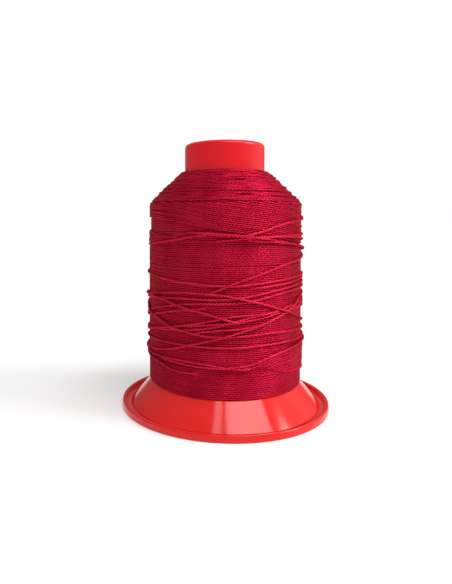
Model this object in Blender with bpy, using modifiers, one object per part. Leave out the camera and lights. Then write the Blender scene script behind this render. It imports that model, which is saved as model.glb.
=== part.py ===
"""A large two-piece sewing spool wound with thick bonded thread.

The spool stands on its base ring, on the plane Z = 0, with its axis on Z.  The spool body is one
moulding: a tube closed by a pierced end wall, and a conical skirt that opens downwards.  A sleeve
inside the skirt slides in the hub of the base ring, so the ring drops a few millimetres and
opens a slit between skirt and flange, where the thread's end is pinched.
"""
import math

import bmesh
import bpy

# ---- Driving dimensions, in metres ----
SPOOL_HEIGHT = 0.0912

TUBE_RADIUS = 0.01395
TUBE_WALL = 0.0016
TUBE_EDGE_ROUND = 0.0014
END_WALL = 0.0018
SPINDLE_HOLE_RADIUS = 0.0055
COLLAR_WALL = 0.0012
COLLAR_DEPTH = 0.0080

BASE_RADIUS = 0.0360
FLANGE_THICKNESS = 0.00115
FLANGE_EDGE_BEVEL = 0.0003
LIP_WIDTH = 0.0014
LIP_HEIGHT = 0.0025
CHANNEL_WIDTH = 0.0016

SKIRT_ANGLE = math.radians(48.3)
SKIRT_WALL = 0.0014

SLEEVE_WALL = 0.0013
HUB_WALL = 0.0012
HUB_HEIGHT = 0.0068
HUB_TO_SKIRT = 0.0014      # from the hub's top edge to the skirt's inner face
SNAP_BEAD = 0.0004
SNAP_BEAD_HEIGHT = 0.0008
RING_TRAVEL = 0.0030

WINDING_RADIUS = 0.0264
BAND_DEPTH = 0.0040        # of the outer bands, over the core of the winding
LOWER_BAND_STEP = 0.00015  # the lower band is this much smaller in radius
LOWER_BAND_HEIGHT = 0.0100
UPPER_BAND_HEIGHT = 0.0092
SHOULDER_ANGLE = math.radians(41.2)
TUBE_SHOWN = 0.00995       # length of tube that stands out of the winding
THREAD_DIAMETER = 0.0006

GAP = 0.0003               # between pieces that touch on the real spool
SEGMENTS = 56              # sides of every turned piece
ARC_STEPS = 5              # straight runs in a rounded edge
WRAP_STEP = math.radians(9.0)
COLLECTION_NAME = "thread_spool"

# Single turns that lie across the others: a wrap's height from the middle of the winding's
# parallel face follows height + tilt * cos(angle - high_side), from its first angle to its last.
# An angle is counted from +X towards the front, which is -Y.
# name, height, tilt, high side, first angle, last angle (metres and degrees)
CROSSING_WRAPS = (
    ("crossing_wrap_1", 0.0213, 0.0040, 5, -60, 75),
    ("crossing_wrap_2", 0.0178, 0.0030, 110, -60, 150),
    ("crossing_wrap_3", 0.0063, 0.0060, 10, -60, 85),
    ("crossing_wrap_4", 0.0060, 0.0008, 210, 95, 280),
    ("crossing_wrap_5", -0.0027, 0.0060, 150, 0, 325),
    ("crossing_wrap_6", -0.0107, 0.0080, 10, 58, 250),
    ("crossing_wrap_7", -0.0142, 0.0008, 30, -60, 95),
    ("crossing_wrap_8", -0.0197, 0.0045, 10, -40, 150),
)


# ---- Sizes that follow from the driving ones ----
LIP_INNER_RADIUS = BASE_RADIUS - LIP_WIDTH
SKIRT_REACH = LIP_INNER_RADIUS - CHANNEL_WIDTH    # where the skirt's outer face meets the flange
SKIRT_SLOPE = math.tan(SKIRT_ANGLE)
SKIRT_LEVEL_WALL = SKIRT_WALL / math.sin(SKIRT_ANGLE)
SKIRT_FOOT_HEIGHT = FLANGE_THICKNESS + GAP
TUBE_INNER_RADIUS = TUBE_RADIUS - TUBE_WALL


def skirt_height(radius):
    """Height of the skirt's outer face at a radius."""
    return FLANGE_THICKNESS + (SKIRT_REACH - radius) * SKIRT_SLOPE


def skirt_radius(height):
    """Radius of the skirt's outer face at a height."""
    return SKIRT_REACH - (height - FLANGE_THICKNESS) / SKIRT_SLOPE


def skirt_inner_height(radius):
    """Height of the skirt's inner face at a radius."""
    return skirt_height(radius + SKIRT_LEVEL_WALL)


def above_skirt(radius):
    """Lowest height of the winding at a radius."""
    return skirt_height(radius) + GAP / math.cos(SKIRT_ANGLE)


def shoulder_height(radius):
    """Height of the winding's tapered top at a radius."""
    return SPOOL_HEIGHT - TUBE_SHOWN - (radius - TUBE_RADIUS) * math.tan(SHOULDER_ANGLE)


HUB_RADIUS = skirt_radius(HUB_HEIGHT) - SKIRT_LEVEL_WALL - HUB_TO_SKIRT
HUB_INNER_RADIUS = HUB_RADIUS - HUB_WALL
SLEEVE_RADIUS = HUB_INNER_RADIUS - GAP - SNAP_BEAD
SLEEVE_FOOT = HUB_HEIGHT - 2 * SNAP_BEAD_HEIGHT - RING_TRAVEL - GAP
WINDING_INNER_RADIUS = TUBE_RADIUS + GAP
WINDING_FOOT = above_skirt(WINDING_RADIUS)
SHOULDER_FOOT = shoulder_height(WINDING_RADIUS)
FACE_MIDDLE = (WINDING_FOOT + SHOULDER_FOOT) / 2


def arc(radius, height, size, first, last):
    """Points of an arc in the (radius, height) plane, angles in degrees from +radius."""
    points = []
    for step in range(ARC_STEPS + 1):
        angle = math.radians(first + (last - first) * step / ARC_STEPS)
        points.append((radius + size * math.cos(angle), height + size * math.sin(angle)))
    return points


# ---- Materials and objects ----
def material(name, color, roughness):
    mat = bpy.data.materials.new(name)
    mat.use_nodes = True
    shader = mat.node_tree.nodes["Principled BSDF"]
    shader.inputs["Base Color"].default_value = (*color, 1.0)
    shader.inputs["Roughness"].default_value = roughness
    shader.inputs["Metallic"].default_value = 0.0
    return mat


def add_to_model(obj, mat):
    bpy.data.collections[COLLECTION_NAME].objects.link(obj)
    obj.data.materials.append(mat)
    return obj


def turned(name, profile, mat):
    """A turned piece from a closed profile that runs down its outer side, from top to bottom."""
    mesh = bpy.data.meshes.new(name)
    shape = bmesh.new()
    corners = [shape.verts.new((radius, 0.0, height)) for radius, height in profile]
    for corner, following in zip(corners, corners[1:] + corners[:1]):
        shape.edges.new((corner, following))
    shape.to_mesh(mesh)
    shape.free()
    obj = add_to_model(bpy.data.objects.new(name, mesh), mat)
    screw = obj.modifiers.new("turn", "SCREW")
    screw.axis = "Z"
    screw.angle = math.tau
    screw.steps = SEGMENTS
    screw.render_steps = SEGMENTS
    screw.use_merge_vertices = True
    screw.merge_threshold = 0.00001
    screw.use_smooth_shade = True
    return obj


def base_ring(mat):
    """Flat flange with a rounded lip round it and a hub that holds the sleeve of the body."""
    lip_middle = BASE_RADIUS - LIP_WIDTH / 2
    lip_round = LIP_WIDTH / 2
    profile = arc(lip_middle, LIP_HEIGHT - lip_round, lip_round, 90, 0)
    profile += [
        (BASE_RADIUS, FLANGE_EDGE_BEVEL),
        (BASE_RADIUS - FLANGE_EDGE_BEVEL, 0.0),
        (HUB_INNER_RADIUS, 0.0),
        (HUB_INNER_RADIUS, HUB_HEIGHT - SNAP_BEAD_HEIGHT),
        (HUB_INNER_RADIUS - SNAP_BEAD, HUB_HEIGHT - SNAP_BEAD_HEIGHT),
        (HUB_INNER_RADIUS - SNAP_BEAD, HUB_HEIGHT),
        (HUB_RADIUS, HUB_HEIGHT),
        (HUB_RADIUS, FLANGE_THICKNESS),
        (LIP_INNER_RADIUS, FLANGE_THICKNESS),
    ]
    profile += arc(lip_middle, LIP_HEIGHT - lip_round, lip_round, 180, 90)[:-1]
    return turned("base_ring", profile, mat)


def spool_body(mat):
    """Tube with a pierced end wall and collar, conical skirt, and the sleeve under the skirt."""
    foot = skirt_radius(SKIRT_FOOT_HEIGHT)
    sleeve_inner = SLEEVE_RADIUS - SLEEVE_WALL
    collar_outer = SPINDLE_HOLE_RADIUS + COLLAR_WALL
    collar_bottom = SPOOL_HEIGHT - COLLAR_DEPTH
    profile = arc(TUBE_RADIUS - TUBE_EDGE_ROUND, SPOOL_HEIGHT - TUBE_EDGE_ROUND, TUBE_EDGE_ROUND, 90, 0)
    profile += [
        (TUBE_RADIUS, skirt_height(TUBE_RADIUS)),
        (foot, SKIRT_FOOT_HEIGHT),
        (foot - SKIRT_LEVEL_WALL, SKIRT_FOOT_HEIGHT),
        (SLEEVE_RADIUS, skirt_inner_height(SLEEVE_RADIUS)),
        (SLEEVE_RADIUS, SLEEVE_FOOT + SNAP_BEAD_HEIGHT),
        (SLEEVE_RADIUS + SNAP_BEAD, SLEEVE_FOOT + SNAP_BEAD_HEIGHT),
        (SLEEVE_RADIUS + SNAP_BEAD, SLEEVE_FOOT),
        (sleeve_inner, SLEEVE_FOOT),
        (sleeve_inner, skirt_inner_height(sleeve_inner)),
        (TUBE_INNER_RADIUS, skirt_inner_height(TUBE_INNER_RADIUS)),
        (TUBE_INNER_RADIUS, SPOOL_HEIGHT - END_WALL),
        (collar_outer, SPOOL_HEIGHT - END_WALL),
        (collar_outer, collar_bottom),
        (SPINDLE_HOLE_RADIUS, collar_bottom),
        (SPINDLE_HOLE_RADIUS, SPOOL_HEIGHT),
    ]
    return turned("spool_body", profile, mat)


def winding_band(name, outer, inner, bottom, top, mat):
    """One ring of the winding; a bottom of None follows the skirt."""
    low_outer = above_skirt(outer) if bottom is None else bottom
    low_inner = above_skirt(inner) if bottom is None else bottom
    profile = [(outer, top), (outer, low_outer), (inner, low_inner), (inner, top)]
    return turned(name, profile, mat)


def winding(mat):
    """The winding: a hidden core, three bands of its parallel face, and its tapered shoulder."""
    band_inner = WINDING_RADIUS - BAND_DEPTH
    bands_top = SHOULDER_FOOT - GAP
    lower_top = WINDING_FOOT + LOWER_BAND_HEIGHT
    middle_top = bands_top - UPPER_BAND_HEIGHT
    winding_band("winding_core", band_inner - GAP, WINDING_INNER_RADIUS, None, bands_top, mat)
    winding_band("winding_lower", WINDING_RADIUS - LOWER_BAND_STEP, band_inner, None, lower_top, mat)
    winding_band("winding_middle", WINDING_RADIUS, band_inner, lower_top + GAP, middle_top, mat)
    winding_band("winding_upper", WINDING_RADIUS, band_inner, middle_top + GAP, bands_top, mat)
    shoulder_profile = [
        (WINDING_INNER_RADIUS, shoulder_height(WINDING_INNER_RADIUS)),
        (WINDING_RADIUS, SHOULDER_FOOT),
        (WINDING_INNER_RADIUS, SHOULDER_FOOT),
    ]
    turned("winding_shoulder", shoulder_profile, mat)


def crossing_wrap(name, height, tilt, high_side, first, last, mat):
    """One thread laid across the others, as a wire that follows a tilted circle."""
    radius = WINDING_RADIUS + GAP + THREAD_DIAMETER / 2
    count = math.ceil(math.radians(last - first) / WRAP_STEP)
    curve = bpy.data.curves.new(name, "CURVE")
    curve.dimensions = "3D"
    curve.bevel_depth = THREAD_DIAMETER / 2
    curve.bevel_resolution = 2
    curve.use_fill_caps = True
    line = curve.splines.new("POLY")
    line.points.add(count)
    for index, point in enumerate(line.points):
        angle = math.radians(first + (last - first) * index / count)
        level = FACE_MIDDLE + height + tilt * math.cos(angle - math.radians(high_side))
        point.co = (radius * math.cos(angle), -radius * math.sin(angle), level, 1.0)
    return add_to_model(bpy.data.objects.new(name, curve), mat)


# ---- The model ----
for old in list(bpy.data.objects):
    bpy.data.objects.remove(old, do_unlink=True)
bpy.context.scene.collection.children.link(bpy.data.collections.new(COLLECTION_NAME))

base_ring(material("base_plastic", (0.72, 0.03, 0.03), 0.30))
moving_spool = bpy.data.objects.new("moving_spool", None)
bpy.data.collections[COLLECTION_NAME].objects.link(moving_spool)
spool_body(material("body_plastic", (0.70, 0.03, 0.04), 0.32))
winding(material("wound_thread", (0.35, 0.003, 0.02), 0.45))
wrap_thread = material("crossing_thread", (0.42, 0.004, 0.03), 0.40)
for name, height, tilt, high_side, first, last in CROSSING_WRAPS:
    crossing_wrap(name, height, tilt, high_side, first, last, wrap_thread)

for piece in bpy.data.collections[COLLECTION_NAME].objects:
    if piece.name not in ("base_ring", moving_spool.name):
        piece.parent = moving_spool
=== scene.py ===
"""A large sewing spool of crimson bonded thread, finished over its CAD frame.

The two mouldings are turned again with rounded edges, and the plain rings of the winding give way
to the thread itself: every turn is laid on what lies under it, pulled taut, and shown as
three plies twisted together.
"""
import math

import bpy
import numpy as np
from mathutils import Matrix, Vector


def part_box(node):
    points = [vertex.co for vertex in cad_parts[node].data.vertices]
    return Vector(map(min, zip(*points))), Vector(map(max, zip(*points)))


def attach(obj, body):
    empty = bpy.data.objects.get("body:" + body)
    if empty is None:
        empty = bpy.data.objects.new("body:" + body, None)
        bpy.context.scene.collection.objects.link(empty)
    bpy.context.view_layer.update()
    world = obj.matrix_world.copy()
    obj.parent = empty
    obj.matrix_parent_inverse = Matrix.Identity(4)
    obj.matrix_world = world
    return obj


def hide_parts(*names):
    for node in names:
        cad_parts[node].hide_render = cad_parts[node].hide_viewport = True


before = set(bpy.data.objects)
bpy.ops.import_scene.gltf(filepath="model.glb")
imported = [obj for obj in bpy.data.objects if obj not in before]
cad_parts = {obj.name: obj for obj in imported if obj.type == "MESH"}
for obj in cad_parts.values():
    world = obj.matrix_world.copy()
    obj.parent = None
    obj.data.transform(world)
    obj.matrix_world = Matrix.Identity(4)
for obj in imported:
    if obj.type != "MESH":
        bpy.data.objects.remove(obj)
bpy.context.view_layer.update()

MM = 0.001
TAU = 2 * math.pi


# ---- Table, light and camera ----
# The spool stands on a white table in a pale room.  A soft lamp and a screen shine from the right,
# and a skylight in front has a broad pane and a narrow one, which the glossy skirt mirrors.
CAMERA_PLACE = (-16.86 * MM, -184.6 * MM, 64.7 * MM)
CAMERA_DROP = math.radians(1.45)
CAMERA_LENS = 32.08
CAMERA_SHIFT = (0.0842, -0.1008)
WALL_LIGHT = 0.24
CEILING_LIGHT = 0.62
BACKDROP_LIGHT = 1.0
SKYLIGHT_REACH = 2.5
SIDE_SCREEN_AZIMUTHS = (90, 99, 108)
LAMP_AZIMUTH = 76
LAMP_ELEVATION = 32
LAMP_SPREAD = 22
LAMP_STRENGTH = 1.25
GLOW_NEAR = 0.22
GLOW_FAR = 0.60


def node(tree, kind, values=(), **settings):
    """Adds a shader node: its settings first, then the values or links of its inputs."""
    made = tree.nodes.new(kind)
    for name, value in settings.items():
        setattr(made, name, value)
    for name, value in dict(values).items():
        if isinstance(value, bpy.types.NodeSocket):
            tree.links.new(value, made.inputs[name])
        else:
            made.inputs[name].default_value = value
    return made


def towards(azimuth, elevation):
    """Direction at an azimuth from the front towards the right, and an elevation, in degrees."""
    turn, lift = math.radians(azimuth), math.radians(elevation)
    return Vector(
        (math.sin(turn) * math.cos(lift), -math.cos(turn) * math.cos(lift), math.sin(lift))
    )


def shine_from(light, direction, reach):
    """Places a light that way and that far from the spool, shining at it."""
    thing = bpy.data.objects.new(light.name, light)
    bpy.context.scene.collection.objects.link(thing)
    thing.location = direction * reach
    thing.rotation_euler = (-direction).to_track_quat("-Z", "Y").to_euler()


def skylight_pane(name, azimuth, elevation, width, height, brightness):
    """A rectangle of even brightness, where 1 is a white sheet in full light."""
    light = bpy.data.lights.new(name, "AREA")
    light.shape = "RECTANGLE"
    light.size = width
    light.size_y = height
    light.energy = brightness * width * height * math.pi
    shine_from(light, towards(azimuth, elevation), SKYLIGHT_REACH)


camera = bpy.data.objects.new("camera", bpy.data.cameras.new("camera"))
bpy.context.scene.collection.objects.link(camera)
bpy.context.scene.camera = camera
camera.location = CAMERA_PLACE
camera.rotation_euler = (math.radians(90) - CAMERA_DROP, 0, 0)
camera.data.lens = CAMERA_LENS
camera.data.shift_x, camera.data.shift_y = CAMERA_SHIFT
camera.data.clip_start = 5 * MM

skylight_pane("broad_pane", 39, 59, 1.65, 0.9, 6.0)
skylight_pane("narrow_pane", -17, 62, 0.30, 0.8, 3.6)
for number, azimuth in enumerate(SIDE_SCREEN_AZIMUTHS):
    skylight_pane(f"side_screen_{number + 1}", azimuth, 22, 2.2, 1.9, 0.2)
lamp = bpy.data.lights.new("lamp", "SUN")
lamp.energy = LAMP_STRENGTH
lamp.angle = math.radians(LAMP_SPREAD)
shine_from(lamp, towards(LAMP_AZIMUTH, LAMP_ELEVATION), SKYLIGHT_REACH)

room = bpy.data.worlds.new("room")
bpy.context.scene.world = room
room.use_nodes = True
room.node_tree.nodes.clear()
seen = node(room.node_tree, "ShaderNodeLightPath").outputs["Is Camera Ray"]
way = node(room.node_tree, "ShaderNodeTexCoord").outputs["Generated"]
height_of_way = node(room.node_tree, "ShaderNodeSeparateXYZ", {"Vector": way}).outputs["Z"]
room_light = node(
    room.node_tree, "ShaderNodeMapRange",
    {
        "Value": height_of_way, "From Min": 0.15, "From Max": 0.9,
        "To Min": WALL_LIGHT, "To Max": CEILING_LIGHT,
    },
).outputs["Result"]
brightness = node(
    room.node_tree, "ShaderNodeMapRange",
    {"Value": seen, "To Min": room_light, "To Max": BACKDROP_LIGHT},
).outputs["Result"]
sky = node(room.node_tree, "ShaderNodeBackground", {"Color": (1, 1, 1, 1), "Strength": brightness})
node(room.node_tree, "ShaderNodeOutputWorld", {"Surface": sky.outputs["Background"]})
bpy.context.scene.view_settings.view_transform = "Standard"

table = bpy.data.objects.new("table", bpy.data.meshes.new("table"))
table.data.from_pydata([(-6, -6, 0), (6, -6, 0), (6, 6, 0), (-6, 6, 0)], [], [(0, 1, 2, 3)])
bpy.context.scene.collection.objects.link(table)
white_board = bpy.data.materials.new("white_board")
white_board.use_nodes = True
board_tree = white_board.node_tree
board = board_tree.nodes["Principled BSDF"]
board_place = node(board_tree, "ShaderNodeTexCoord").outputs["Object"]
far_out = node(board_tree, "ShaderNodeVectorMath", {"Vector": board_place}, operation="LENGTH")
glow = node(
    board_tree, "ShaderNodeMapRange",
    {
        "Value": far_out.outputs["Value"], "From Min": 0.2, "From Max": 2.5,
        "To Min": GLOW_NEAR, "To Max": GLOW_FAR,
    },
    interpolation_type="SMOOTHSTEP",
)
glow_color = node(
    board_tree, "ShaderNodeCombineColor",
    {"Red": glow.outputs["Result"], "Green": glow.outputs["Result"], "Blue": glow.outputs["Result"]},
)
board_tree.links.new(glow_color.outputs["Color"], board.inputs["Emission Color"])
board.inputs["Base Color"].default_value = (0.8, 0.8, 0.8, 1)
board.inputs["Roughness"].default_value = 0.7
board.inputs["Specular IOR Level"].default_value = 0.1
board.inputs["Emission Strength"].default_value = 1.0
table.data.materials.append(white_board)


# ---- Spool body ----
# One moulding of red plastic: a tube with a pierced end wall, and a conical skirt that shows
# below the winding.  It is turned here as one skin, with the rounded edges that a mould leaves.
SIDES = 256
CORNER_STEPS = 6
TUBE_RADIUS = 13.95 * MM
TUBE_WALL = 1.6 * MM
TUBE_EDGE_ROUND = 1.4 * MM
END_WALL = 1.8 * MM
SPINDLE_HOLE_RADIUS = 5.5 * MM
COLLAR_WALL = 1.2 * MM
COLLAR_DEPTH = 8.0 * MM
SKIRT_ANGLE = math.radians(48.3)
SKIRT_WALL = 1.4 * MM
SLEEVE_WALL = 1.3 * MM
SNAP_BEAD = 0.4 * MM
SNAP_BEAD_HEIGHT = 0.8 * MM
SLEEVE_RADIUS = 22.78 * MM
SLEEVE_FOOT = 1.9 * MM
EDGE_ROUND = 0.25 * MM
SKIRT_FOOT_ROUND = 0.06 * MM
SKIRT_REST = 0.2 * MM
SUPPORT = 0.06 * MM
RUBBED_FROM = 80.0 * MM
RUBBED_FADE = 2.0 * MM
RUBBED_DULLNESS = 0.20
RUBBED_RED = (0.74, 0.003, 0.011)


class Number:
    """A number that changes over a surface; sums and products with it add Math nodes."""

    def __init__(self, tree, socket):
        self.tree, self.socket = tree, socket

    def maths(self, operation, first, second):
        """One Math node of two numbers."""
        made = node(self.tree, "ShaderNodeMath", operation=operation)
        for slot_number, value in enumerate((first, second)):
            if isinstance(value, Number):
                self.tree.links.new(value.socket, made.inputs[slot_number])
            else:
                made.inputs[slot_number].default_value = value
        return Number(self.tree, made.outputs[0])

    def __add__(self, other):
        return self.maths("ADD", self, other)

    def __radd__(self, other):
        return self.maths("ADD", other, self)

    def __sub__(self, other):
        return self.maths("SUBTRACT", self, other)

    def __rsub__(self, other):
        return self.maths("SUBTRACT", other, self)

    def __mul__(self, other):
        return self.maths("MULTIPLY", self, other)

    def __rmul__(self, other):
        return self.maths("MULTIPLY", other, self)

    def maths_of(self, operation):
        """One Math node of this number alone."""
        made = node(self.tree, "ShaderNodeMath", {0: self.socket}, operation=operation)
        return Number(self.tree, made.outputs[0])

    def clamped(self):
        """The number held between 0 and 1."""
        return self.maths("MAXIMUM", self.maths("MINIMUM", self, 1.0), 0.0)


def new_finish(name):
    """A material with its Principled shader, and its Object coordinates."""
    mat = bpy.data.materials.new(name)
    mat.use_nodes = True
    tree = mat.node_tree
    place = node(tree, "ShaderNodeTexCoord").outputs["Object"]
    return mat, tree, tree.nodes["Principled BSDF"], place


def noise(tree, place, scale, detail=3.0, rough=0.5):
    """Cloudy noise round 0.5 on coordinates in metres; scale is its waves a metre."""
    made = node(
        tree, "ShaderNodeTexNoise",
        {"Vector": place, "Scale": scale, "Detail": detail, "Roughness": rough},
    )
    return Number(tree, made.outputs["Fac"])


def mix_colors(tree, share, first, second):
    """First colour where share is 0, second where it is 1."""
    made = node(tree, "ShaderNodeMix", data_type="RGBA")
    tree.links.new(share.socket, made.inputs[0])
    for place_number, color in ((6, first), (7, second)):
        if isinstance(color, bpy.types.NodeSocket):
            tree.links.new(color, made.inputs[place_number])
        else:
            made.inputs[place_number].default_value = (*color, 1)
    return made.outputs[2]


def moulded_plastic(name, deep, light, gloss):
    """Red moulded plastic: faint clouds of colour, an uneven gloss, and a skin like fine peel.

    High up, where hands and stands rub it, it is duller and a little cooler.
    """
    mat, tree, shader, place = new_finish(name)
    clouds = noise(tree, place, 45.0)
    peel = noise(tree, place, 900.0, 2.0)
    grain = noise(tree, place, 4200.0, 2.0)
    share = ((clouds - 0.5) * 2.2 + 0.5).clamped()
    level = node(tree, "ShaderNodeSeparateXYZ", {"Vector": place}).outputs["Z"]
    rubbed = ((Number(tree, level) - RUBBED_FROM) * (1 / RUBBED_FADE)).clamped()
    fresh = mix_colors(tree, share, deep, light)
    tree.links.new(mix_colors(tree, rubbed, fresh, RUBBED_RED), shader.inputs["Base Color"])
    roughness = gloss + (clouds - 0.5) * 0.05 + (peel - 0.5) * 0.05 + rubbed * RUBBED_DULLNESS
    tree.links.new(roughness.socket, shader.inputs["Roughness"])
    relief = peel * 0.7 + grain * 0.3
    bump = node(
        tree, "ShaderNodeBump",
        {"Strength": 0.12, "Distance": 0.05 * MM, "Height": relief.socket},
    )
    tree.links.new(bump.outputs["Normal"], shader.inputs["Normal"])
    shader.inputs["IOR"].default_value = 1.49
    shader.inputs["Specular IOR Level"].default_value = 0.4
    return mat


def rounded(corners):
    """Closed outline of (radius, height, rounding) corners.

    A corner with a rounding becomes an arc of that radius, tangent to both sides: its centre is on
    the corner's bisector, at rounding / sin(half the corner's angle).  A point just before and
    after each arc keeps the flat sides flat.
    """
    places = np.array([corner[:2] for corner in corners])
    points = []
    for place, before, after, corner in zip(
        places, np.roll(places, 1, axis=0), np.roll(places, -1, axis=0), corners
    ):
        size = corner[2]
        if size == 0:
            points.append(place)
            continue
        to_before = (before - place) / np.linalg.norm(before - place)
        to_after = (after - place) / np.linalg.norm(after - place)
        half = math.acos(np.clip(to_before @ to_after, -1, 1)) / 2
        reach = size / math.tan(half)
        bisector = (to_before + to_after) / np.linalg.norm(to_before + to_after)
        centre = place + bisector * size / math.sin(half)
        start = place + to_before * reach - centre
        end = place + to_after * reach - centre
        sweep = math.pi - 2 * half
        steps = np.arange(CORNER_STEPS + 1) / CORNER_STEPS
        share_start = np.sin((1 - steps) * sweep) / math.sin(sweep)
        share_end = np.sin(steps * sweep) / math.sin(sweep)
        points.append(place + to_before * (reach + SUPPORT))
        points.extend(centre + share_start[:, None] * start + share_end[:, None] * end)
        points.append(place + to_after * (reach + SUPPORT))
    return np.array(points)


def add_piece(name, points, faces, mat, body, slot, replaced=(), uv=None):
    """A piece from an array of points and one of four-cornered faces, riding on a CAD body."""
    mesh = bpy.data.meshes.new(name)
    mesh.vertices.add(len(points))
    mesh.vertices.foreach_set("co", points.astype(np.float32).ravel())
    mesh.loops.add(faces.size)
    mesh.loops.foreach_set("vertex_index", faces.astype(np.int32).ravel())
    mesh.polygons.add(len(faces))
    mesh.polygons.foreach_set("loop_start", np.arange(0, faces.size, 4, dtype=np.int32))
    if uv is not None:
        mesh.uv_layers.new(name="thread").uv.foreach_set("vector", uv.astype(np.float32).ravel())
    mesh.update(calc_edges=True)
    mesh.shade_smooth()
    mesh.materials.append(mat)
    piece = bpy.data.objects.new(name, mesh)
    bpy.context.scene.collection.objects.link(piece)
    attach(piece, body)
    if replaced:
        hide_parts(*replaced)
    return piece


def turned(outline, sides):
    """Points and faces of a turned skin.

    The outline (r, z) stands at angles a: (r cos a, r sin a, z); it runs down its outer side, and
    each face joins two neighbouring points of it at two neighbouring angles.
    """
    turn = np.arange(sides) * TAU / sides
    radius, height = outline[:, 0], outline[:, 1]
    points = np.stack(
        [
            np.outer(np.cos(turn), radius),
            np.outer(np.sin(turn), radius),
            np.broadcast_to(height, (sides, len(height))),
        ],
        axis=-1,
    ).reshape(-1, 3)
    index = np.arange(sides * len(outline)).reshape(sides, len(outline))
    across = np.roll(index, -1, axis=0)
    faces = np.stack(
        [index, np.roll(index, -1, axis=1), np.roll(across, -1, axis=1), across], axis=-1
    )
    return points, faces.reshape(-1, 4)


spool_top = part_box("spool_body")[1].z
skirt_slope = math.tan(SKIRT_ANGLE)
skirt_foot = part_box("spool_body")[0].z - SKIRT_REST
skirt_foot_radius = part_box("spool_body")[1].x + SKIRT_REST / skirt_slope


def skirt_height(radius):
    """Height of the skirt's outer face at a radius."""
    return skirt_foot + (skirt_foot_radius - radius) * skirt_slope


def skirt_inner_height(radius):
    """Height of the skirt's inner face at a radius."""
    return skirt_height(radius + SKIRT_WALL / math.sin(SKIRT_ANGLE))


tube_inner = TUBE_RADIUS - TUBE_WALL
sleeve_inner = SLEEVE_RADIUS - SLEEVE_WALL
collar_outer = SPINDLE_HOLE_RADIUS + COLLAR_WALL
body_outline = rounded([
    (TUBE_RADIUS, spool_top, TUBE_EDGE_ROUND),
    (TUBE_RADIUS, skirt_height(TUBE_RADIUS), 1.0 * MM),
    (skirt_foot_radius, skirt_foot, SKIRT_FOOT_ROUND),
    (skirt_foot_radius - SKIRT_WALL / math.sin(SKIRT_ANGLE), skirt_foot, EDGE_ROUND),
    (SLEEVE_RADIUS, skirt_inner_height(SLEEVE_RADIUS), EDGE_ROUND),
    (SLEEVE_RADIUS, SLEEVE_FOOT + SNAP_BEAD_HEIGHT, 0),
    (SLEEVE_RADIUS + SNAP_BEAD, SLEEVE_FOOT + SNAP_BEAD_HEIGHT, SNAP_BEAD / 3),
    (SLEEVE_RADIUS + SNAP_BEAD, SLEEVE_FOOT, SNAP_BEAD / 3),
    (sleeve_inner, SLEEVE_FOOT, EDGE_ROUND),
    (sleeve_inner, skirt_inner_height(sleeve_inner), EDGE_ROUND),
    (tube_inner, skirt_inner_height(tube_inner), EDGE_ROUND),
    (tube_inner, spool_top - END_WALL, EDGE_ROUND),
    (collar_outer, spool_top - END_WALL, EDGE_ROUND),
    (collar_outer, spool_top - COLLAR_DEPTH, EDGE_ROUND),
    (SPINDLE_HOLE_RADIUS, spool_top - COLLAR_DEPTH, EDGE_ROUND),
    (SPINDLE_HOLE_RADIUS, spool_top, 0.6 * MM),
])
body_plastic = moulded_plastic("body_plastic", (0.73, 0.006, 0.004), (0.79, 0.011, 0.007), 0.12)
add_piece(
    "spool_moulding", *turned(body_outline, SIDES), body_plastic, "spool", "body_plastic",
    replaced=["spool_body"],
)


# ---- Base ring ----
# A second moulding in the same red, pushed over the sleeve under the skirt: a thin flange
# with a round lip, and a channel between the lip and the skirt's foot where the thread's end goes.
HUB_INNER_RADIUS = SLEEVE_RADIUS + SNAP_BEAD + 0.3 * MM
HUB_WALL = 1.2 * MM
FLANGE_THICKNESS = 1.15 * MM
LIP_WIDTH = 1.4 * MM
LIP_HEIGHT = 2.5 * MM

ring_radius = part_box("base_ring")[1].x
hub_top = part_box("base_ring")[1].z
hub_outer = HUB_INNER_RADIUS + HUB_WALL
lip_inner = ring_radius - LIP_WIDTH
ring_outline = rounded([
    (lip_inner, LIP_HEIGHT, LIP_WIDTH * 0.49),
    (ring_radius, LIP_HEIGHT, LIP_WIDTH * 0.49),
    (ring_radius, 0.0, 0.35 * MM),
    (HUB_INNER_RADIUS, 0.0, EDGE_ROUND),
    (HUB_INNER_RADIUS, hub_top - SNAP_BEAD_HEIGHT, 0),
    (HUB_INNER_RADIUS - SNAP_BEAD, hub_top - SNAP_BEAD_HEIGHT, SNAP_BEAD / 3),
    (HUB_INNER_RADIUS - SNAP_BEAD, hub_top, EDGE_ROUND),
    (hub_outer, hub_top, EDGE_ROUND),
    (hub_outer, FLANGE_THICKNESS, EDGE_ROUND),
    (lip_inner, FLANGE_THICKNESS, EDGE_ROUND),
])
ring_plastic = moulded_plastic("ring_plastic", (0.71, 0.006, 0.003), (0.77, 0.011, 0.005), 0.14)
add_piece(
    "base_ring_moulding", *turned(ring_outline, SIDES), ring_plastic, "base", "base_plastic",
    replaced=["base_ring"],
)


# ---- The bed that the thread is laid on ----
# The winding is built turn on turn.  The bed keeps, all round the spool, how high the thread lies
# above a bed line that runs up the parallel face and over the tapered shoulder.
COLUMNS = 640
CELL = 0.05 * MM
THREAD_RADIUS = 0.30 * MM
PRESSED_RADIUS = 0.27 * MM
ROW_STEP = 0.615 * MM
FACE_RADIUS = 26.5 * MM
FACE_TOP = 70.5 * MM
SHOULDER_TOP = 81.35 * MM
SHOULDER_TOP_RADIUS = 15.2 * MM
FOOT_HEIGHT = 9.35 * MM
SINK = THREAD_RADIUS + PRESSED_RADIUS
TURN_STEP = TAU / COLUMNS


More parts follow.
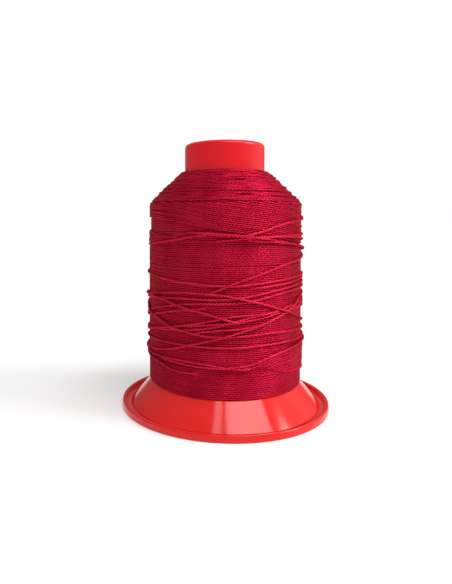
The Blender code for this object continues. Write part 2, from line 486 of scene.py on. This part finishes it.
def smooth_route(points, turn):
    """Heights of a smooth curve through (degrees, millimetres) points, at angles in radians.

    Between two points a cubic runs with the end slopes that the neighbouring points give;
    beyond the first and the last point the height stays.
    """
    points = np.array(sorted(points), dtype=float)
    known_turn, known_height = np.radians(points[:, 0]), points[:, 1] * MM
    slope = np.gradient(known_height, known_turn)
    turn = np.clip(turn, known_turn[0], known_turn[-1])
    span = np.clip(np.searchsorted(known_turn, turn, side="right") - 1, 0, len(points) - 2)
    width = known_turn[span + 1] - known_turn[span]
    share = (turn - known_turn[span]) / width
    rest = 1 - share
    return (
        known_height[span] * (1 + 2 * share) * rest**2
        + known_height[span + 1] * share**2 * (3 - 2 * share)
        + slope[span] * width * share * rest**2
        - slope[span + 1] * width * share**2 * rest
    )


def inset(outline, depth):
    """The open outline's corners moved inwards by a depth, square to both sides of each corner.

    A corner moves by depth * (n1 + n2) / (1 + n1 . n2), with n1 and n2 its sides' outward normals.
    """
    sides = np.diff(outline, axis=0)
    sides = sides / np.linalg.norm(sides, axis=1)[:, None]
    out = np.stack([sides[:, 1], -sides[:, 0]], axis=-1)
    before, after = np.concatenate([out[:1], out]), np.concatenate([out, out[-1:]])
    return outline - depth * (before + after) / (1 + (before * after).sum(axis=1))[:, None]


winding_outline = np.array([
    [FACE_RADIUS, FOOT_HEIGHT],
    [FACE_RADIUS, FACE_TOP],
    [SHOULDER_TOP_RADIUS, SHOULDER_TOP],
    [TUBE_RADIUS, SHOULDER_TOP],
])
bed_corners = inset(winding_outline, SINK)
bed_rounding = [0, 1.2 * MM, 0.8 * MM, 0]
bed_line = rounded(
    [(*corner, size) for corner, size in zip(bed_corners, bed_rounding)] + [(0.0, 0.0, 0)]
)[:-1]
station = np.append(0, np.cumsum(np.linalg.norm(np.diff(bed_line, axis=0), axis=1)))
bed_stations = np.arange(0, station[-1], CELL)
bed_radius = np.interp(bed_stations, station, bed_line[:, 0])
bed_height = np.interp(bed_stations, station, bed_line[:, 1])
run = np.stack([np.gradient(bed_radius), np.gradient(bed_height)])
run = run / np.linalg.norm(run, axis=0)
bed_out = np.stack([run[1], -run[0]])
face_length = np.interp(FACE_TOP, bed_height, bed_stations)

# How far the first layer lies above (or below) the bed line on the way up the face.
FIRST_LAYER = [
    (0.0, -0.1), (8.5, -0.1), (10.0, 0.0), (46.0, 0.0), (47.5, -0.5), (61.0, -0.5), (62.0, -0.57),
]
layer = np.array(FIRST_LAYER) * MM
bed = np.tile(np.interp(bed_stations, layer[:, 0], layer[:, 1]), (COLUMNS, 1))

reach = np.arange(-6, 7)
PRESSED_RISE = np.sqrt(np.maximum(PRESSED_RADIUS**2 - (reach * CELL) ** 2, 0))
PRESSED_RISE[np.abs(reach * CELL) >= PRESSED_RADIUS] = -1.0
THREAD_RISE = np.sqrt(np.maximum(THREAD_RADIUS**2 - (reach * CELL) ** 2, 0))


def taut(radius):
    """Radii of a thread pulled tight over supports at those radii.

    Wherever the middle of the chord between two points of the thread, (r1 + r2) / 2 * cos(half
    their angle), lies outside the thread, the thread is lifted to the chord.
    """
    for span in (28, 20, 14, 10, 7, 5, 3, 2, 1) * 2:
        padded = np.pad(radius, span, mode="edge")
        chord = (padded[: -2 * span] + padded[2 * span :]) / 2 * math.cos(span * TURN_STEP)
        radius = np.maximum(radius, chord)
    return radius


def cells_under(turn, at):
    """The bed's columns and cells under a thread, from its angles and stations."""
    column = np.round(turn / TURN_STEP).astype(int) % COLUMNS
    cells = np.round(at / CELL).astype(int)[:, None] + reach
    return column[:, None], np.clip(cells, 0, len(bed_stations) - 1)


def lay(turn, at, ends=True, bury=1.0 * MM, ease=3.5 * MM):
    """Lays a thread along stations `at` for each angle; gives its height above the bed line.

    It rests on the highest support under its width, is pulled taut, and, with ends, slips
    below its neighbours over the last few millimetres at either end.  The bed rises under it.
    """
    under = cells_under(turn, at)
    support = (bed[under] + PRESSED_RISE).max(axis=1)
    line_radius = np.interp(at, bed_stations, bed_radius)
    height = taut(line_radius + support) - line_radius
    kernel = np.ones(5) / 5
    height = np.convolve(np.pad(height, 2, mode="edge"), kernel, mode="valid")
    if ends:
        length = np.arange(len(turn)) * TURN_STEP * FACE_RADIUS
        share = np.clip(np.minimum(length, length[-1] - length) / ease, 0, 1)
        height = height - bury * (1 - share * share * (3 - 2 * share))
    np.maximum.at(bed, under, height[:, None] + THREAD_RISE)
    return height


# ---- The thread ----
# Three plies of continuous filament twisted to the right and bonded.  A thread is a skin of
# six-pointed rings: three points on the plies and three in the valleys between them.
PLY_CREST = 0.335 * MM
PLY_VALLEY = 0.300 * MM
LOOSE_FULLNESS = 1.36
TWIST_LENGTH = 3.8 * MM
RING_ANGLES = np.arange(6) * TAU / 6
RING_RADII = np.where(np.arange(6) % 2 == 0, PLY_CREST, PLY_VALLEY)
TWIST_WANDER = 0.06
THREAD_GLOSS = 0.32
THREAD_RELIEF = 0.07 * MM
PIECE_LIMIT = 190_000


def in_space(turn, at, height):
    """Points of a thread from its angles, stations and heights, and the outward directions there."""
    radius = np.interp(at, bed_stations, bed_radius)
    level = np.interp(at, bed_stations, bed_height)
    out_level = np.interp(at, bed_stations, bed_out[0])
    out_up = np.interp(at, bed_stations, bed_out[1])
    reach_out = np.maximum(radius + height * out_level, TUBE_RADIUS + THREAD_RADIUS)
    points = np.stack(
        [reach_out * np.cos(turn), -reach_out * np.sin(turn), level + height * out_up], axis=-1
    )
    outward = np.stack([out_level * np.cos(turn), -out_level * np.sin(turn), out_up], axis=-1)
    return points, outward


def wander(rng, count, knots, size):
    """A smooth random line: random heights at even knots, joined by cosine steps."""
    known = rng.normal(0, size, knots + 2)
    where = np.linspace(0, knots, count)
    left = where.astype(int)
    share = (1 - np.cos((where - left) * math.pi)) / 2
    return known[left] * (1 - share) + known[left + 1] * share


twist_rng = np.random.default_rng(23)


def thread_skin(middle, outward, fullness):
    """Points, faces and surface coordinates of one thread along a line of middles.

    Ring i stands on the middle's point i, across the line's direction t.  Its point j is at
    fullness * r_j * (cos p * o + sin p * t x o), with o outward, p = 60 degrees * j + the twist
    so far, and r_j by turns on a ply and in a valley.  The surface coordinates are the twists
    along the thread and the share of the way round it.
    """
    ahead = np.gradient(middle, axis=0)
    step = np.linalg.norm(ahead, axis=1)
    ahead = ahead / step[:, None]
    outward = outward - (outward * ahead).sum(axis=1)[:, None] * ahead
    outward = outward / np.linalg.norm(outward, axis=1)[:, None]
    aside = np.cross(ahead, outward)
    twists = np.cumsum(step) / TWIST_LENGTH + twist_rng.uniform(0, 1)
    twists = twists + wander(twist_rng, len(step), len(step) // 90 + 1, TWIST_WANDER)
    angle = RING_ANGLES + TAU * twists[:, None]
    points = middle[:, None] + fullness * RING_RADII[:, None] * (
        np.cos(angle)[..., None] * outward[:, None] + np.sin(angle)[..., None] * aside[:, None]
    )
    index = np.arange(len(middle) * 6).reshape(-1, 6)
    here, beside = index[:-1], np.roll(index, -1, axis=1)[:-1]
    over, over_beside = index[1:], np.roll(index, -1, axis=1)[1:]
    faces = np.stack([here, beside, over_beside, over], axis=-1).reshape(-1, 4)
    around = np.arange(6) / 6
    shape = here.shape
    start = np.broadcast_to(twists[:-1, None], shape)
    stop = np.broadcast_to(twists[1:, None], shape)
    low = np.broadcast_to(around, shape)
    high = np.broadcast_to(around + 1 / 6, shape)
    pairs = ((start, low), (start, high), (stop, high), (stop, low))
    uv = np.stack([np.stack(pair, axis=-1) for pair in pairs], axis=-2).reshape(-1, 2)
    first, last = index[0], index[-1]
    caps = np.array([
        [first[3], first[2], first[1], first[0]], [first[0], first[5], first[4], first[3]],
        [last[0], last[1], last[2], last[3]], [last[3], last[4], last[5], last[0]],
    ])
    faces = np.concatenate([faces, caps])
    uv = np.concatenate([uv, np.zeros((caps.size, 2))])
    return points.reshape(-1, 3), faces, uv


def bonded_thread(name, valley_shade_color, deep, light):
    """Crimson bonded thread: three round plies with dark valleys, silky filaments, uneven dye.

    The share of a ply's crown at a place c of its width is |2 * (the fraction of 3 v) - 1|, and the
    ply stands sqrt(c * (2 - c)) high.  Towards the valleys, where the crown's share is low, the
    colour is mixed into a dark red: painted shade, standing in for the shade between the plies.
    """
    mat, tree, shader, place = new_finish(name)
    dye = noise(tree, place, 160.0, 3.0)
    fuzz = noise(tree, place, 2600.0, 2.0)
    along_plies = node(tree, "ShaderNodeUVMap", uv_map="thread").outputs["UV"]
    around = node(tree, "ShaderNodeSeparateXYZ", {"Vector": along_plies}).outputs["Y"]
    fraction = (Number(tree, around) * 3.0).maths_of("FRACT")
    crown = ((fraction * 2.0) - 1.0).maths_of("ABSOLUTE")
    rise = (crown * (2.0 - crown)).maths_of("SQRT")
    filaments = node(
        tree, "ShaderNodeTexWave",
        {"Vector": along_plies, "Scale": 5.0, "Distortion": 1.5, "Detail": 2.0, "Detail Scale": 3.0},
        wave_type="BANDS", bands_direction="Y",
    )
    strands = Number(tree, filaments.outputs["Fac"])
    share = ((dye - 0.5) * 1.6 + 0.3 + strands * 0.3 + (fuzz - 0.5) * 0.6).clamped()
    dyed = mix_colors(tree, share, deep, light)
    # Painted shade: the base colour darkens to the valley shade colour between the plies.
    tree.links.new(mix_colors(tree, (crown * 1.5).clamped(), valley_shade_color, dyed), shader.inputs["Base Color"])
    roughness = THREAD_GLOSS + (dye - 0.5) * 0.2 - strands * 0.06
    tree.links.new(roughness.socket, shader.inputs["Roughness"])
    relief = rise + strands * 0.12 + fuzz * 0.10
    bump = node(
        tree, "ShaderNodeBump",
        {"Strength": 1.0, "Distance": THREAD_RELIEF, "Height": relief.socket},
    )
    tree.links.new(bump.outputs["Normal"], shader.inputs["Normal"])
    shader.inputs["Metallic"].default_value = 0.65
    shader.inputs["Specular IOR Level"].default_value = 0.35
    shader.inputs["Specular Tint"].default_value = (1.0, 0.15, 0.25, 1)
    shader.inputs["Sheen Weight"].default_value = 0.06
    shader.inputs["Sheen Roughness"].default_value = 0.35
    shader.inputs["Sheen Tint"].default_value = (1.0, 0.25, 0.38, 1)
    return mat


# Each finish's first colour is painted shade, laid into the valleys between the plies.
thread_finish = bonded_thread(
    "bonded_thread", (0.09, 0.0002, 0.005), (0.62, 0.005, 0.038), (0.86, 0.018, 0.082)
)
# A lighter copy of the same thread, for the turns that cross over on top: painted light, standing in
# for the extra light that these raised turns catch.
lit_crossing_finish = bonded_thread(
    "bonded_thread_painted_light", (0.13, 0.0003, 0.007), (0.78, 0.010, 0.052), (0.98, 0.034, 0.110)
)


def add_threads(name, threads, replaced=(), fullness=1.0, finish=thread_finish):
    """Pieces from threads given as (angles, stations, heights), split below the size limit."""
    skins = [thread_skin(*in_space(*thread), fullness) for thread in threads]
    groups, size = [[]], 0
    for skin in skins:
        if groups[-1] and size + 2 * len(skin[1]) > PIECE_LIMIT:
            groups.append([])
            size = 0
        groups[-1].append(skin)
        size += 2 * len(skin[1])
    for number, group in enumerate(groups):
        starts = np.cumsum([0] + [len(skin[0]) for skin in group[:-1]])
        points = np.concatenate([skin[0] for skin in group])
        faces = np.concatenate([skin[1] + start for skin, start in zip(group, starts)])
        uv = np.concatenate([skin[2] for skin in group])
        label = name if len(groups) == 1 else f"{name}_{number + 1}"
        add_piece(
            label, points, faces, finish, "spool", "thread",
            replaced=replaced if number == 0 else (), uv=uv,
        )


def on_face(height):
    """Station of a height on the parallel face."""
    return height - FOOT_HEIGHT


# ---- Core of the winding ----
# The older layers, seen only between the turns: a turned ring under the bed line.  Its reds are
# painted darker than the thread's own: painted shade for the gaps between the turns.
CORE_DEPTH = 0.12 * MM
CORE_GAP = 0.05 * MM
CORE_LIFT = 0.3 * MM
core_station = np.linspace(0, bed_stations[-1], 90)
core_drop = np.interp(core_station, bed_stations, bed[0]) - CORE_DEPTH
core_inner = TUBE_RADIUS + CORE_GAP
core_radius = np.interp(core_station, bed_stations, bed_radius)
core_level = np.interp(core_station, bed_stations, bed_height)
core_reach = core_radius + core_drop * np.interp(core_station, bed_stations, bed_out[0])
core_side = np.stack([
    np.maximum(core_reach, core_inner + CORE_GAP),
    core_level + core_drop * np.interp(core_station, bed_stations, bed_out[1]),
], axis=-1)[::-1]
core_foot_radius = core_side[-1][0]
core_outline = np.concatenate([
    [[core_inner, core_side[0][1]]],
    core_side[:-1],
    [[core_foot_radius, skirt_height(core_foot_radius) + CORE_LIFT]],
    [[core_inner, skirt_height(core_inner) + CORE_LIFT]],
])
core_finish, core_tree, core_shader, core_place = new_finish("inner_layers")
core_rows = node(
    core_tree, "ShaderNodeTexWave",
    {"Vector": core_place, "Scale": 1 / ROW_STEP / 3.18, "Distortion": 0.6, "Detail": 2.0},
    wave_type="BANDS", bands_direction="Z",
)
core_share = Number(core_tree, core_rows.outputs["Fac"])
# Painted shade: both reds, banded by rows, are darker than the thread's, to darken the gaps between
# turns.
core_tree.links.new(
    mix_colors(core_tree, core_share, (0.26, 0.0008, 0.010), (0.40, 0.001, 0.016)),
    core_shader.inputs["Base Color"],
)
core_shader.inputs["Roughness"].default_value = 0.6
add_piece(
    "inner_layers", *turned(core_outline, 192), core_finish, "spool", "thread",
    replaced=["winding_core"],
)


# ---- Even rows of the parallel face ----
# One thread laid row on row from the skirt to the shoulder.  Neighbouring rows part a little at
# three places, where the winding machine turned back.
PARTINGS = [
    # half the width in millimetres, then (degrees, millimetres) points
    (0.22, [(-180, 60.5), (-60, 60), (60, 60), (95, 60.5), (165, 61), (180, 60.5)]),
    (0.13, [(-180, 50), (-90, 51), (0, 50.5), (80, 50.5), (110, 50), (180, 50)]),
    (0.16, [(-180, 19.5), (-90, 19), (90, 19), (150, 19), (180, 19.5)]),
]
PARTING_REACH = 1.3 * MM
BACK = -math.pi / 2
WAVER = 0.035 * MM
LENGTH_TURNS = 22
LOWER_TOP = 19.0 * MM
MIDDLE_TOP = 58.0 * MM

rng = np.random.default_rng(7)
face_turns = int((FACE_TOP - FOOT_HEIGHT) / ROW_STEP)
turn = BACK + np.arange(face_turns * COLUMNS) * TURN_STEP
level = FOOT_HEIGHT + ROW_STEP * (turn - BACK) / TAU
level = level + wander(rng, len(turn), face_turns * 9, WAVER)
around = (turn + math.pi) % TAU - math.pi
for width, points in PARTINGS:
    line = smooth_route(points, around)
    apart = level - line
    level = level + np.sign(apart) * width * MM * np.exp(-np.abs(apart) / PARTING_REACH)
height = lay(turn, on_face(level), ends=False)

lower_end = int((LOWER_TOP - FOOT_HEIGHT) / ROW_STEP) * COLUMNS
middle_end = int((MIDDLE_TOP - FOOT_HEIGHT) / ROW_STEP) * COLUMNS


def in_lengths(turn, at, height):
    """Cuts a long thread into lengths of at most LENGTH_TURNS turns, which meet at one point."""
    cuts = range(0, len(turn), LENGTH_TURNS * COLUMNS)
    lengths = [slice(first, first + LENGTH_TURNS * COLUMNS + 1) for first in cuts]
    return [(turn[part], at[part], height[part]) for part in lengths if len(turn[part]) > 2]


for name, node_name, first, last in (
    ("lower_rows", "winding_lower", 0, lower_end),
    ("middle_rows", "winding_middle", lower_end, middle_end),
    ("upper_rows", "winding_upper", middle_end, len(turn)),
):
    part = slice(first, last + 1)
    lengths = in_lengths(turn[part], on_face(level[part]), height[part])
    add_threads(name, lengths, replaced=[node_name])


# ---- Slanting band under the shoulder ----
# The last full layer at the top slants down to the right across the front, and its rows end
# one after another at the shoulder's edge.
BAND_EDGE = [
    (-100, 60.5), (-60, 58), (-20, 57), (15, 57), (60, 59.5), (95, 61.5), (130, 64.5),
    (185, 66), (220, 64.5), (260, 61), (270, 60.5),
]
BAND_TOP = 70.6 * MM
STAGGER = 32
SHORTEST_ROW = 40


def kept_parts(keep):
    """First and last index of each unbroken stretch where keep is true."""
    edges = np.flatnonzero(np.diff(np.concatenate([[False], keep, [False]]).astype(int)))
    return zip(edges[::2], edges[1::2])


def band_rows(edge, steps, low, high, direction=1, span=(-180, 180)):
    """Rows side by side, each a step above (or below) the last, kept between two heights.

    Each row starts a little earlier or later than its neighbour, so that the ends make no seam.
    """
    threads = []
    first, last = (round(math.radians(limit) / TURN_STEP) for limit in span)
    for number in range(steps):
        turn = (np.arange(first, last + 1) + rng.integers(-STAGGER, STAGGER)) * TURN_STEP
        level = smooth_route(edge, turn) + direction * number * ROW_STEP
        level = level + wander(rng, len(turn), 9, WAVER)
        keep = (level < high(turn)) & (level > low(turn))
        for start, stop in kept_parts(keep):
            if stop - start > SHORTEST_ROW:
                part = slice(start, stop)
                at = on_face(level[part])
                threads.append((turn[part], at, lay(turn[part], at)))
    return threads


def level_at(height):
    """A limit that is the same all round."""
    return lambda turn: np.full(len(turn), height)


WEDGE_EDGE = [(110, 58), (130, 59), (165, 60.5), (195, 61), (230, 59.5), (250, 58.5)]
WEDGE_FLOOR = [(90, 60), (110, 60), (135, 58.5), (165, 57), (200, 56), (240, 56.5), (260, 57)]
wedge = band_rows(
    WEDGE_EDGE, 7, lambda turn: smooth_route(WEDGE_FLOOR, turn), level_at(90 * MM), -1, (112, 250)
)
add_threads("wedge_of_rows", wedge)

slanting = band_rows(BAND_EDGE, 22, level_at(0.0), level_at(BAND_TOP), span=(-96, 266))
add_threads("slanting_band", slanting)


# ---- Tapered shoulder ----
# Each layer ended a little lower than the one under it, so the shoulder is made of layer ends:
# even turns below, and over them loose, wavy turns that ride on each other and leave dark gaps.
LOOSE_STEP = 0.66 * MM
LOOSE_WAVER = 0.15 * MM
LOOSE_SLANT = 0.07 * MM
PRESSED_SHARE = 0.35
STRAY_TURNS = 5
STRAY_PRESS = 0.2 * MM
STRAY_BURY = 2.5 * MM
STRAY_FIRST = 0.1
STRAY_SPACING = 0.17
STRAY_DRIFT = 0.1


def pressed(height):
    """Heights of a thread whose rises over its usual height are pressed down to a share."""
    usual = np.median(height)
    return usual + (height - usual) * PRESSED_SHARE


def laid_turn_by_turn(turn, at):
    """Heights of a long thread laid one turn after another, so that it may ride on itself.

    The joints between the turns are eased by a bell-shaped average of 25 neighbours.  Where the
    thread rides it is pressed down towards its usual height, to a share of the rise, and only
    that share raises the bed.
    """
    bed_before = bed.copy()
    heights = [
        lay(turn[first : first + COLUMNS], at[first : first + COLUMNS], ends=False)
        for first in range(0, len(turn), COLUMNS)
    ]
    bell = np.hanning(27)[1:-1]
    padded = np.pad(np.concatenate(heights), 12, mode="edge")
    height = pressed(np.convolve(padded, bell / bell.sum(), mode="valid"))
    bed[:] = bed_before
    np.maximum.at(bed, cells_under(turn, at), height[:, None] + THREAD_RISE)
    return height


shoulder_length = bed_stations[-1] - face_length
count = int(shoulder_length / ROW_STEP) * COLUMNS
turn = BACK + np.arange(count) * TURN_STEP
at = face_length + (np.arange(count) + 1) / count * shoulder_length
at = np.clip(at + wander(rng, count, count // 40, WAVER), 0, bed_stations[-1])
even_turns = in_lengths(turn, at, lay(turn, at, ends=False))

count = int(shoulder_length / LOOSE_STEP) * COLUMNS
turn = BACK + np.arange(count) * TURN_STEP
at = face_length + (np.arange(count) + 1) / count * shoulder_length
sway = wander(rng, count, count // 22, LOOSE_WAVER) + wander(rng, count, count // 130, LOOSE_SLANT)
at = np.clip(at + sway, 0, bed_stations[-1])
loose_turns = in_lengths(turn, at, laid_turn_by_turn(turn, at))

stray_turns = []
for number in range(STRAY_TURNS):
    count = int(COLUMNS * rng.uniform(0.6, 1.1))
    turn = (np.arange(count) + rng.integers(COLUMNS)) * TURN_STEP
    start = (STRAY_FIRST + STRAY_SPACING * number) * shoulder_length
    drift = rng.uniform(-STRAY_DRIFT, STRAY_DRIFT) * shoulder_length
    at = face_length + start + drift * np.linspace(0, 1, count)
    at = at + wander(rng, count, 14, LOOSE_WAVER)
    at = np.clip(at, face_length, bed_stations[-1] - 0.3 * MM)
    stray_turns.append((turn, at, pressed(lay(turn, at, bury=STRAY_BURY)) - STRAY_PRESS))
add_threads("shoulder_even_turns", even_turns, replaced=["winding_shoulder"])
add_threads("shoulder_loose_turns", loose_turns)
add_threads("shoulder_stray_turns", stray_turns)


# ---- Fan of rows above the lower band ----
# On the right a fan of rows climbs over the lower band and closes to a point in front.
FAN_EDGE = [
    (-110, 22.5), (-60, 24.5), (0, 25), (20, 24.5), (45, 23), (65, 21.5), (75, 20), (90, 19),
    (125, 18.5),
]
FAN_FLOOR = [(-110, 13), (0, 13), (20, 14), (65, 17), (80, 18.5), (125, 19)]
fan = band_rows(
    FAN_EDGE, 18, lambda turn: smooth_route(FAN_FLOOR, turn), level_at(90 * MM), -1, (-110, 125)
)
add_threads("fan_of_rows", fan)


# ---- Single turns that cross over ----
# The last metres of thread, laid across the rows at all slants.  Each is a list of (degrees,
# millimetres) points that it passes, in the order in which they were laid.
CROSSING_TURNS = {
    "level_turns": [
        [
            (-70, 45.5), (-20, 46.5), (20, 46.5), (60, 45.5), (90, 44.5), (120, 45), (160, 46.5),
            (250, 47),
        ],
        [(-80, 43), (-20, 45), (20, 45.5), (50, 44.5), (80, 43.5)],
        [(60, 58), (90, 60), (110, 60), (130, 58.5), (160, 57), (200, 56), (240, 56.5)],
    ],
    "upper_crossing_turns": [
        [(-60, 59.5), (20, 60), (60, 59.5), (80, 59.5), (115, 60.5)],
        [(-70, 57), (0, 58), (60, 59.5), (80, 59), (105, 58)],
        [(-80, 53.5), (-20, 54.5), (15, 55.5), (60, 58.5), (90, 60), (125, 61)],
        [(-90, 52), (-20, 54), (10, 55), (40, 57), (80, 58.5)],
        [(-75, 68.5), (-20, 67), (20, 65), (55, 63), (70, 61), (85, 59.5)],
        [(-50, 54.5), (0, 53.5), (25, 52), (55, 50), (70, 48), (90, 45), (110, 41)],
    ],
    "middle_crossing_turns": [
        [
            (-75, 45), (-20, 44.5), (20, 44), (60, 42.5), (90, 40.5), (130, 40), (170, 38.5),
            (240, 37),
        ],
        [
            (-80, 42.5), (20, 42.5), (55, 41.5), (80, 39.5), (120, 38.5), (145, 36.5), (185, 32),
            (215, 31.5),
        ],
        [(105, 37.5), (130, 36), (155, 33.5), (175, 32), (205, 31), (245, 32.5)],
        [(60, 36), (80, 34.5), (105, 31.5), (140, 29.5), (160, 28.5), (190, 27.5), (230, 28.5)],
        [(-60, 35), (0, 35.5), (35, 36), (50, 35), (65, 33), (80, 31.5), (95, 31), (120, 29.5)],
        [(-90, 36.5), (20, 37), (55, 35.5), (75, 34), (95, 33), (130, 31), (170, 27.5), (230, 27)],
        [(-50, 38.5), (20, 38), (45, 37), (60, 36), (90, 35), (120, 32), (140, 30)],
    ],
    "lower_crossing_turns": [
        [
            (-80, 25.5), (20, 25.5), (55, 26), (90, 25.5), (130, 25.5), (165, 25), (200, 24),
            (240, 24.5),
        ],
        [
            (-70, 26.5), (-20, 27.5), (20, 28.5), (60, 29.5), (110, 29), (135, 31), (175, 35.5),
            (240, 38),
        ],
        [
            (-90, 41), (0, 40.5), (25, 39.5), (50, 35.5), (80, 31), (120, 25.5), (135, 23.5),
            (165, 21.5), (250, 20),
        ],
        [(75, 19), (90, 19), (105, 20), (135, 20.5), (160, 20), (200, 21), (240, 21)],
        [(110, 17), (135, 17), (145, 18), (165, 18.5), (195, 19.5), (230, 19.5)],
        [
            (-90, 21.5), (-40, 23), (20, 24.5), (45, 23.5), (65, 22), (75, 20.5), (90, 19.5),
            (125, 19.5), (150, 20.5),
        ],
    ],
    "top_crossing_turns": [
        [(85, 33), (100, 35), (125, 37.5), (140, 39), (155, 39.5), (185, 39), (225, 41.5)],
        [
            (-60, 26), (-20, 28), (15, 31), (50, 36), (75, 39.5), (95, 41.5), (115, 42),
            (175, 39.5), (250, 37.5),
        ],
    ],
    "back_crossing_turns": [
        [(190, 52), (230, 48.5), (270, 43), (310, 38), (345, 35.5)],
        [(195, 33), (220, 36), (250, 39.5), (290, 41.5), (340, 42)],
        [(195, 25.5), (230, 27.5), (270, 31.5), (310, 35), (340, 36.5)],
        [(200, 41), (240, 36), (280, 30), (320, 26.5), (340, 24.5)],
        [(210, 24), (250, 22), (290, 23.5), (325, 28.5), (345, 31)],
        [(215, 46.5), (250, 47.5), (290, 46), (330, 42)],
        [(205, 55.5), (245, 54), (285, 55), (325, 57.5), (345, 57.5)],
    ],
}
# Each group takes the lighter copy of the thread finish: painted light for the raised turns.
for number, (name, routes) in enumerate(CROSSING_TURNS.items(), start=1):
    laid = []
    for points in routes:
        first = round(math.radians(points[0][0]) / TURN_STEP)
        last = round(math.radians(points[-1][0]) / TURN_STEP)
        turn = np.arange(first, last) * TURN_STEP
        at = on_face(smooth_route(points, turn) + wander(rng, len(turn), 8, WAVER / 2))
        laid.append((turn, at, lay(turn, at)))
    stands_for = [f"crossing_wrap_{number}"]
    if number == len(CROSSING_TURNS):
        stands_for += [f"crossing_wrap_{other}" for other in range(number + 1, 9)]
    add_threads(name, laid, stands_for, LOOSE_FULLNESS, lit_crossing_finish)
